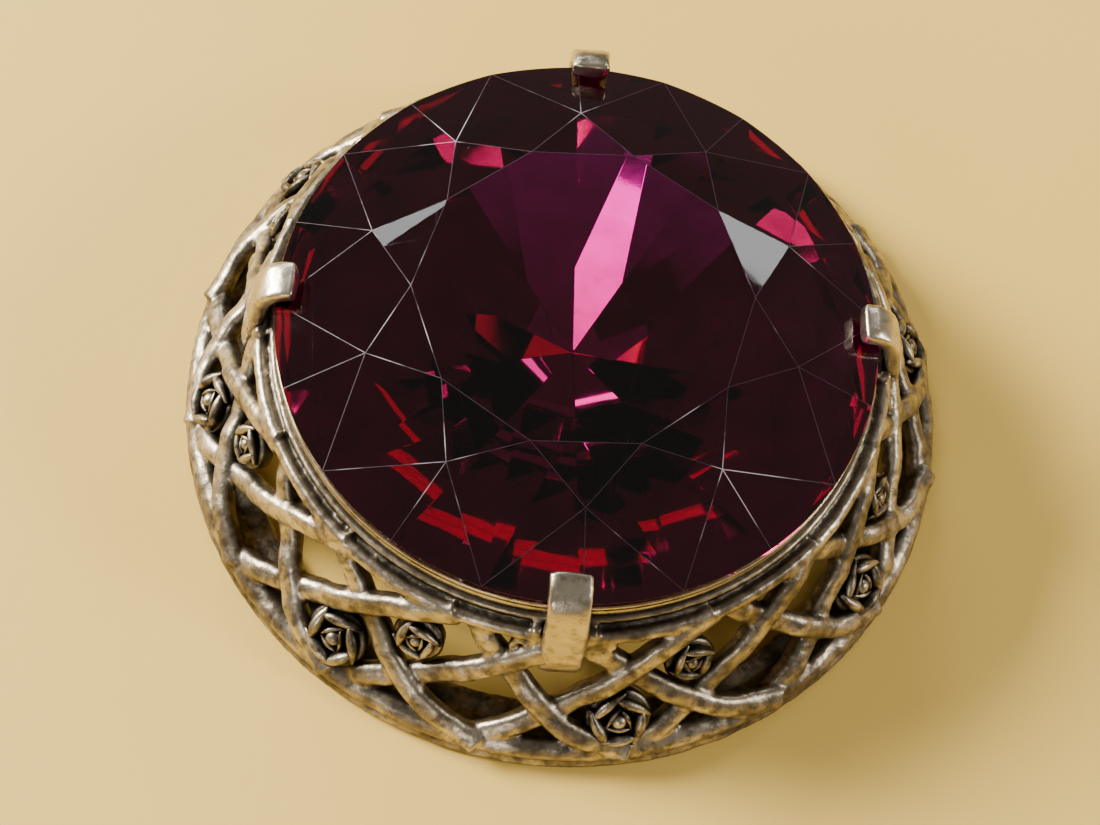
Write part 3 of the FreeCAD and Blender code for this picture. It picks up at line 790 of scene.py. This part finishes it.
def antiqued_silver():
    """Silver-tone casting, blackened, then rubbed back so that only its high places shine."""
    n = Nodes("antiqued_silver")
    open_share = n.ramp(n.cavity(2.0 * MM), ((0.55, 0.0), (0.95, 1.0)))
    mottle = n.noise(1400, 5, 0.62)
    patches = n.noise(260, 3)
    worn = n.ramp(n.edges(), ((0.45, 0.0), (0.56, 1.0)))
    rubbed = n.math("MULTIPLY", open_share, n.ramp(mottle, ((0.38, 0.1), (0.6, 1.0))))
    rubbed = n.math("MULTIPLY", rubbed, n.ramp(patches, ((0.35, 0.4), (0.6, 1.0))))
    bright = n.math("ADD", rubbed, n.math("MULTIPLY", worn, 0.35), clamp=True)
    tone = n.ramp(patches, ((0.35, (0.40, 0.33, 0.23)), (0.65, (0.62, 0.54, 0.42))))
    colour = n.mix(bright, (0.018, 0.014, 0.011), tone)
    n.link(colour, n.shader.inputs["Base Color"])
    n.shader.inputs["Metallic"].default_value = 1.0
    rough = n.ramp(bright, ((0.0, 0.42), (1.0, 0.27)))
    rough = n.math("ADD", rough, n.math("MULTIPLY", mottle, 0.1))
    n.link(rough, n.shader.inputs["Roughness"])
    grain = n.math("ADD", n.noise(3200, 6, 0.6), n.math("MULTIPLY", n.noise(900, 3), 1.6))
    n.bump(grain, 0.55, 0.05 * MM)
    return n.material


def bright_silver():
    """Claws and seat: the same plate worn bright, with fine pits and rub marks, and painted shade
    in recesses and where other parts come close.
    """
    n = Nodes("bright_silver")
    pits = n.noise(1500, 6, 0.65)
    cloud = n.noise(330, 3)
    stain = n.ramp(pits, ((0.36, 0.0), (0.5, 1.0)))
    # Painted shade: the occlusion node darkens the colour in recesses and where the stone, frame or
    # paper come close; the mix below darkens for this and for the pit stains.
    open_share = n.ramp(n.cavity(0.5 * MM), ((0.2, 0.25), (0.7, 1.0)))
    tone = n.ramp(cloud, ((0.35, (0.46, 0.39, 0.28)), (0.7, (0.68, 0.60, 0.48))))
    share = n.math("MULTIPLY", n.ramp(stain, ((0.0, 0.55), (1.0, 1.0))), open_share)
    n.link(n.mix(share, (0.05, 0.042, 0.034), tone), n.shader.inputs["Base Color"])
    n.shader.inputs["Metallic"].default_value = 1.0
    n.link(n.ramp(cloud, ((0.3, 0.22), (0.7, 0.36))), n.shader.inputs["Roughness"])
    n.bump(n.math("ADD", pits, n.noise(5200, 4)), 0.4, 0.035 * MM)
    return n.material


def plated_finding():
    """The pin, bar and catch: plated steel, drawn along its length, with painted shade in recesses
    and where other parts come close.
    """
    n = Nodes("plated_finding")
    stretched = n.add("ShaderNodeMapping")
    stretched.inputs["Scale"].default_value = (0.06, 1, 1)
    n.link(n.place, stretched.inputs["Vector"])
    lines = n.add("ShaderNodeTexNoise")
    lines.inputs["Scale"].default_value = 4200
    lines.inputs["Detail"].default_value = 3
    n.link(stretched.outputs["Vector"], lines.inputs["Vector"])
    cloud = n.noise(420, 4)
    # Painted shade: the occlusion node darkens the colour in recesses and where the frame or paper
    # come close.
    open_share = n.ramp(n.cavity(0.6 * MM), ((0.15, 0.3), (0.75, 1.0)))
    tone = n.ramp(cloud, ((0.35, (0.56, 0.53, 0.48)), (0.7, (0.74, 0.71, 0.66))))
    n.link(n.mix(open_share, (0.06, 0.052, 0.045), tone), n.shader.inputs["Base Color"])
    n.shader.inputs["Metallic"].default_value = 1.0
    n.link(n.ramp(lines.outputs["Fac"], ((0.3, 0.2), (0.7, 0.34))), n.shader.inputs["Roughness"])
    n.bump(lines.outputs["Fac"], 0.3, 0.02 * MM)
    return n.material


def purple_glass():
    """Deep amethyst glass, so dark that it is nearly black where the light's path is long."""
    n = Nodes("purple_glass")
    glass = n.shader.inputs
    glass["Base Color"].default_value = (0.96, 0.9, 0.96, 1)
    glass["Transmission Weight"].default_value = 1.0
    glass["IOR"].default_value = 1.52
    smudge = n.ramp(n.noise(190, 5), ((0.42, 0.0), (0.72, 0.06)))
    scratch = n.add("ShaderNodeTexVoronoi", feature="DISTANCE_TO_EDGE")
    scratch.inputs["Scale"].default_value = 160
    n.link(n.place, scratch.inputs["Vector"])
    hairline = n.ramp(scratch.outputs["Distance"], ((0.0, 0.05), (0.006, 0.0)))
    n.link(n.math("ADD", smudge, hairline), glass["Roughness"])
    inside = n.add("ShaderNodeVolumeAbsorption")
    inside.inputs["Color"].default_value = (0.92, 0.03, 0.84, 1)
    inside.inputs["Density"].default_value = 470
    n.link(inside.outputs["Volume"], n.output.inputs["Volume"])
    return n.material


def worn_glass():
    """The edges between the upper facets, rubbed white in places."""
    n = Nodes("worn_glass")
    rubbed = n.ramp(n.noise(190, 4), ((0.54, 0.0), (0.7, 1.0)))
    fine = n.noise(2600, 4)
    n.link(n.mix(rubbed, (0.02, 0.004, 0.014), (0.6, 0.55, 0.6)), n.shader.inputs["Base Color"])
    n.link(n.ramp(fine, ((0.3, 0.3), (0.7, 0.6))), n.shader.inputs["Roughness"])
    n.bump(fine, 0.3, 0.01 * MM)
    return n.material


def stone_foil():
    """The thin bright backing on the stone's lower facets, a little crinkled and stained."""
    n = Nodes("stone_foil")
    cloud = n.noise(420, 4)
    tone = n.ramp(cloud, ((0.3, (0.50, 0.44, 0.40)), (0.7, (0.74, 0.68, 0.62))))
    worn = n.ramp(n.edges(), ((0.5, 0.0), (0.62, 0.6)))
    n.link(n.mix(worn, tone, (0.30, 0.22, 0.20)), n.shader.inputs["Base Color"])
    n.shader.inputs["Metallic"].default_value = 1.0
    n.link(n.ramp(cloud, ((0.3, 0.01), (0.75, 0.05))), n.shader.inputs["Roughness"])
    n.bump(n.noise(700, 5), 0.03, 0.02 * MM)
    return n.material


def paper():
    n = Nodes("paper")
    fibres = n.noise(900, 6, 0.6)
    cloud = n.noise(14, 3)
    tone = n.ramp(cloud, ((0.3, (0.86, 0.56, 0.10)), (0.7, (0.90, 0.61, 0.13))))
    n.link(tone, n.shader.inputs["Base Color"])
    n.shader.inputs["Roughness"].default_value = 0.75
    n.bump(fibres, 0.25, 0.08 * MM)
    return n.material


# --- carried-over CAD pieces ----------------------------------------------------------------


def finish_findings(material):
    """The findings on the back keep their CAD shape, with their edges eased."""
    for node in ("pin_bar", "hinge_rivet", "pin_stem", "catch_hook", "catch_lock"):
        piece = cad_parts[node]
        piece.data.materials.clear()
        piece.data.materials.append(material)
        ease_edges = piece.modifiers.new("eased", "BEVEL")
        ease_edges.width = EASED_EDGE * MM
        ease_edges.segments = 2
        ease_edges.limit_method = "ANGLE"
        ease_edges.angle_limit = math.radians(40)


# --- stage, light and camera ----------------------------------------------------------------


def make_floor(material):
    reach = FLOOR_REACH
    corners = [(-reach, -reach, 0), (reach, -reach, 0), (reach, reach, 0), (-reach, reach, 0)]
    mesh = in_metres(mesh_of("paper_sheet", corners, [(0, 1, 2, 3)], smooth=False))
    floor = new_object("paper_sheet", mesh, [material])
    floor.location.z = -FLOOR_DROP * MM


def area_light(name, azimuth, elevation, size, power, colour):
    """A soft light, azimuth and elevation in degrees seen from the brooch."""
    data = bpy.data.lights.new(name, "AREA")
    data.shape = "RECTANGLE"
    data.size, data.size_y = size
    data.energy = power
    data.color = colour
    lamp = bpy.data.objects.new(name, data)
    bpy.context.scene.collection.objects.link(lamp)
    lean = math.radians(elevation)
    away = polar(azimuth, math.cos(lean), math.sin(lean)) * LIGHT_DISTANCE
    lamp.location = away
    lamp.rotation_mode = "QUATERNION"
    lamp.rotation_quaternion = (-away).to_track_quat("-Z", "Y")


def make_light():
    world = bpy.data.worlds.new("room")
    bpy.context.scene.world = world
    world.use_nodes = True
    background = world.node_tree.nodes["Background"]
    background.inputs["Color"].default_value = (1.0, 0.93, 0.82, 1)
    background.inputs["Strength"].default_value = 0.2
    area_light("key", 158, 29, (0.22, 0.2), 10.5, (1.0, 0.96, 0.9))
    area_light("front_fill", 250, 26, (0.18, 0.14), 0.7, (1.0, 0.95, 0.88))
    area_light("back_window", 103, 28, (0.14, 0.1), 0.7, (0.92, 0.97, 1.0))
    area_light("left_window", 121, 39, (0.12, 0.1), 0.3, (0.95, 0.98, 1.0))
    area_light("right_window", 54, 34, (0.14, 0.1), 0.35, (0.95, 0.98, 1.0))
    area_light("right_lamp", 350, 30, (0.1, 0.1), 1.6, (1.0, 0.95, 0.9))


# Camera: standing over the front of the brooch, a little to its left, and rolled.
CAMERA_AZIMUTH = -97.6
CAMERA_ELEVATION = 64.14
CAMERA_DISTANCE = 88.4
CAMERA_PAN = math.radians(-0.42)
CAMERA_TILT = math.radians(-0.78)
CAMERA_ROLL = math.radians(10.88)
CAMERA_LENS = 49.1


def make_camera():
    data = bpy.data.cameras.new("camera")
    data.lens = CAMERA_LENS
    data.sensor_width = 36.0
    data.clip_start = 1 * MM
    camera = bpy.data.objects.new("camera", data)
    bpy.context.scene.collection.objects.link(camera)
    lean = math.radians(CAMERA_ELEVATION)
    place = polar(CAMERA_AZIMUTH, math.cos(lean), math.sin(lean)) * CAMERA_DISTANCE
    ahead = -place.normalized()
    right = ahead.cross(Vector((0, 0, 1))).normalized()
    up = right.cross(ahead)
    ahead = (ahead + right * math.tan(CAMERA_PAN) + up * math.tan(CAMERA_TILT)).normalized()
    right = (right - ahead * right.dot(ahead)).normalized()
    up = right.cross(ahead)
    spin = Matrix.Rotation(CAMERA_ROLL, 3, -ahead)
    right, up = spin @ right, spin @ up
    turned = Matrix((right, up, -ahead)).transposed().to_4x4()
    camera.matrix_world = Matrix.Translation(place * MM) @ turned
    bpy.context.scene.camera = camera


silver = antiqued_silver()
plate = bright_silver()
make_frame(silver)
make_roses(silver)
make_claws(plate)
make_seat(plate)
make_stone(purple_glass(), stone_foil(), worn_glass())
finish_findings(plated_finding())
make_floor(paper())
make_light()
make_camera()
